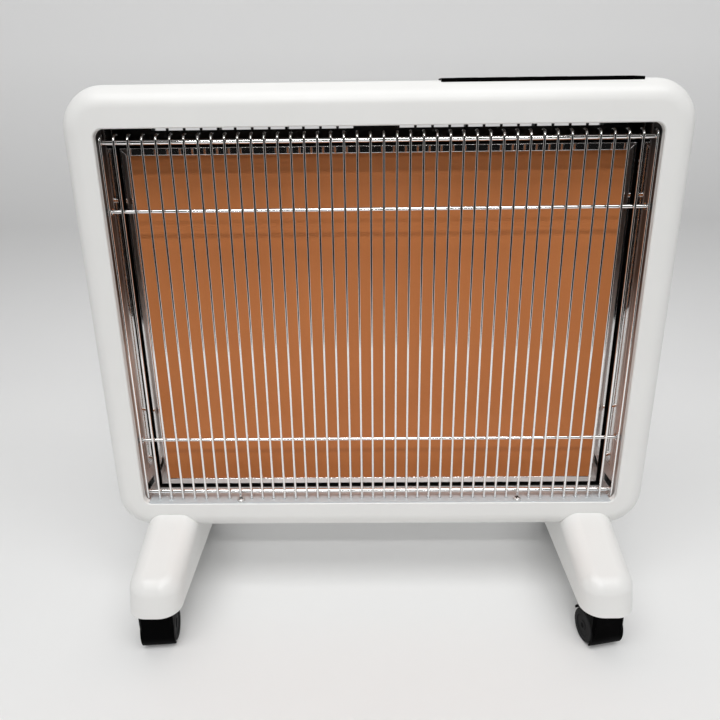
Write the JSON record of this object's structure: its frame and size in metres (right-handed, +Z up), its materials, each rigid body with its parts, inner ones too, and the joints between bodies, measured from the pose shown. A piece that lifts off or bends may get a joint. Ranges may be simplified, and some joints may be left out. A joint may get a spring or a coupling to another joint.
{
  "type": "far infrared heater",
  "caption": "Free-standing far infrared panel heater: white rounded case, chrome wire grille over an orange-brown radiating panel, top control strip, two legs on twin-wheel casters.",
  "frame": {"origin": "on the floor, under the middle of the whole object's box", "axes": "+X to the right of someone facing the heater, +Y towards its back, +Z up"},
  "size_m": [0.645, 0.28, 0.6263],
  "materials": {
    "white_plastic": "semi-gloss",
    "grey_plastic": "matte",
    "chrome_wire": "polished",
    "polished_steel": "polished",
    "screw_steel": "plated",
    "bright_trim": "bright",
    "panel_coating": "matte",
    "heater_sheet": "matte",
    "insulation": "matte",
    "back_sheet": "plain",
    "black_plastic": "satin",
    "dark_window": "gloss",
    "circuit_board": "matte",
    "switch_plastic": "matte",
    "wheel_rubber": "matte"
  },
  "bodies": {
    "heater": {"button_switches": "switch_plastic", "caster_stems": "screw_steel", "control_board": "circuit_board", "control_strip": "black_plastic", "cord_gland": "black_plastic", "cover_screws": "screw_steel", "display_window": "dark_window", "front_frame": "white_plastic", "grille": "chrome_wire", "grille_clips": "polished_steel", "heating_element": "heater_sheet", "heating_panel": "panel_coating", "insulation_board": "insulation", "left_leg": "white_plastic", "left_leg_base": "grey_plastic", "leg_screws": "screw_steel", "panel_back_plate": "back_sheet", "panel_posts": "screw_steel", "panel_screws": "screw_steel", "rear_cover": "white_plastic", "reflector_tray": "polished_steel", "relay_board": "circuit_board", "right_leg": "white_plastic", "right_leg_base": "grey_plastic", "sill_screws": "screw_steel", "sill_strip": "polished_steel", "terminal_block": "switch_plastic", "thermal_fuse": "switch_plastic", "thermostat": "switch_plastic", "tip_over_switch": "switch_plastic", "tray_rivets": "polished_steel", "tray_screws": "screw_steel", "trim_bottom": "bright_trim", "trim_left": "bright_trim", "trim_right": "bright_trim", "trim_top": "bright_trim"},
    "front_left_caster": {"front_left_hood": "black_plastic", "front_left_axle": "screw_steel"},
    "front_left_wheel_left": {"front_left_wheel_left": "wheel_rubber"},
    "front_left_wheel_right": {"front_left_wheel_right": "wheel_rubber"},
    "rear_left_caster": {"rear_left_hood": "black_plastic", "rear_left_axle": "screw_steel"},
    "rear_left_wheel_left": {"rear_left_wheel_left": "wheel_rubber"},
    "rear_left_wheel_right": {"rear_left_wheel_right": "wheel_rubber"},
    "front_right_caster": {"front_right_hood": "black_plastic", "front_right_axle": "screw_steel"},
    "front_right_wheel_left": {"front_right_wheel_left": "wheel_rubber"},
    "front_right_wheel_right": {"front_right_wheel_right": "wheel_rubber"},
    "rear_right_caster": {"rear_right_hood": "black_plastic", "rear_right_axle": "screw_steel"},
    "rear_right_wheel_left": {"rear_right_wheel_left": "wheel_rubber"},
    "rear_right_wheel_right": {"rear_right_wheel_right": "wheel_rubber"},
    "power_button": {"power_button": "black_plastic"},
    "heat_down_button": {"heat_down_button": "black_plastic"},
    "heat_up_button": {"heat_up_button": "black_plastic"},
    "timer_button": {"timer_button": "black_plastic"}
  },
  "joints": [
    {"name": "front_left_swivel", "type": "hinge", "parent": "heater", "child": "front_left_caster", "pos_m": [-0.2615, -0.12, 0.05], "axis": [0, 0, 1], "continuous": true},
    {"name": "front_left_wheel_left_roll", "type": "hinge", "parent": "front_left_caster", "child": "front_left_wheel_left", "pos_m": [-0.26255, -0.10805, 0.02], "axis": [0.9962, 0.0872, 0], "continuous": true},
    {"name": "front_left_wheel_right_roll", "type": "hinge", "parent": "front_left_caster", "child": "front_left_wheel_right", "pos_m": [-0.26255, -0.10805, 0.02], "axis": [0.9962, 0.0872, 0], "continuous": true},
    {"name": "rear_left_swivel", "type": "hinge", "parent": "heater", "child": "rear_left_caster", "pos_m": [-0.2615, 0.12, 0.05], "axis": [0, 0, 1], "continuous": true},
    {"name": "rear_left_wheel_left_roll", "type": "hinge", "parent": "rear_left_caster", "child": "rear_left_wheel_left", "pos_m": [-0.2735, 0.12, 0.02], "axis": [0, 1, 0], "continuous": true},
    {"name": "rear_left_wheel_right_roll", "type": "hinge", "parent": "rear_left_caster", "child": "rear_left_wheel_right", "pos_m": [-0.2735, 0.12, 0.02], "axis": [0, 1, 0], "continuous": true},
    {"name": "front_right_swivel", "type": "hinge", "parent": "heater", "child": "front_right_caster", "pos_m": [0.2615, -0.12, 0.05], "axis": [0, 0, 1], "continuous": true},
    {"name": "front_right_wheel_left_roll", "type": "hinge", "parent": "front_right_caster", "child": "front_right_wheel_left", "pos_m": [0.25901, -0.10826, 0.02], "axis": [0.9781, 0.2079, 0], "continuous": true},
    {"name": "front_right_wheel_right_roll", "type": "hinge", "parent": "front_right_caster", "child": "front_right_wheel_right", "pos_m": [0.25901, -0.10826, 0.02], "axis": [0.9781, 0.2079, 0], "continuous": true},
    {"name": "rear_right_swivel", "type": "hinge", "parent": "heater", "child": "rear_right_caster", "pos_m": [0.2615, 0.12, 0.05], "axis": [0, 0, 1], "continuous": true},
    {"name": "rear_right_wheel_left_roll", "type": "hinge", "parent": "rear_right_caster", "child": "rear_right_wheel_left", "pos_m": [0.2735, 0.12, 0.02], "axis": [0, 1, 0], "continuous": true},
    {"name": "rear_right_wheel_right_roll", "type": "hinge", "parent": "rear_right_caster", "child": "rear_right_wheel_right", "pos_m": [0.2735, 0.12, 0.02], "axis": [0, 1, 0], "continuous": true},
    {"name": "power_button_press", "type": "slide", "parent": "heater", "child": "power_button", "axis": [0, 0, -1], "range_m": [0, 0.0008], "stiffness_N_per_m": 1500, "springref_m": -0.0005},
    {"name": "heat_down_button_press", "type": "slide", "parent": "heater", "child": "heat_down_button", "axis": [0, 0, -1], "range_m": [0, 0.0008], "stiffness_N_per_m": 1500, "springref_m": -0.0005},
    {"name": "heat_up_button_press", "type": "slide", "parent": "heater", "child": "heat_up_button", "axis": [0, 0, -1], "range_m": [0, 0.0008], "stiffness_N_per_m": 1500, "springref_m": -0.0005},
    {"name": "timer_button_press", "type": "slide", "parent": "heater", "child": "timer_button", "axis": [0, 0, -1], "range_m": [0, 0.0008], "stiffness_N_per_m": 1500, "springref_m": -0.0005}
  ]
}
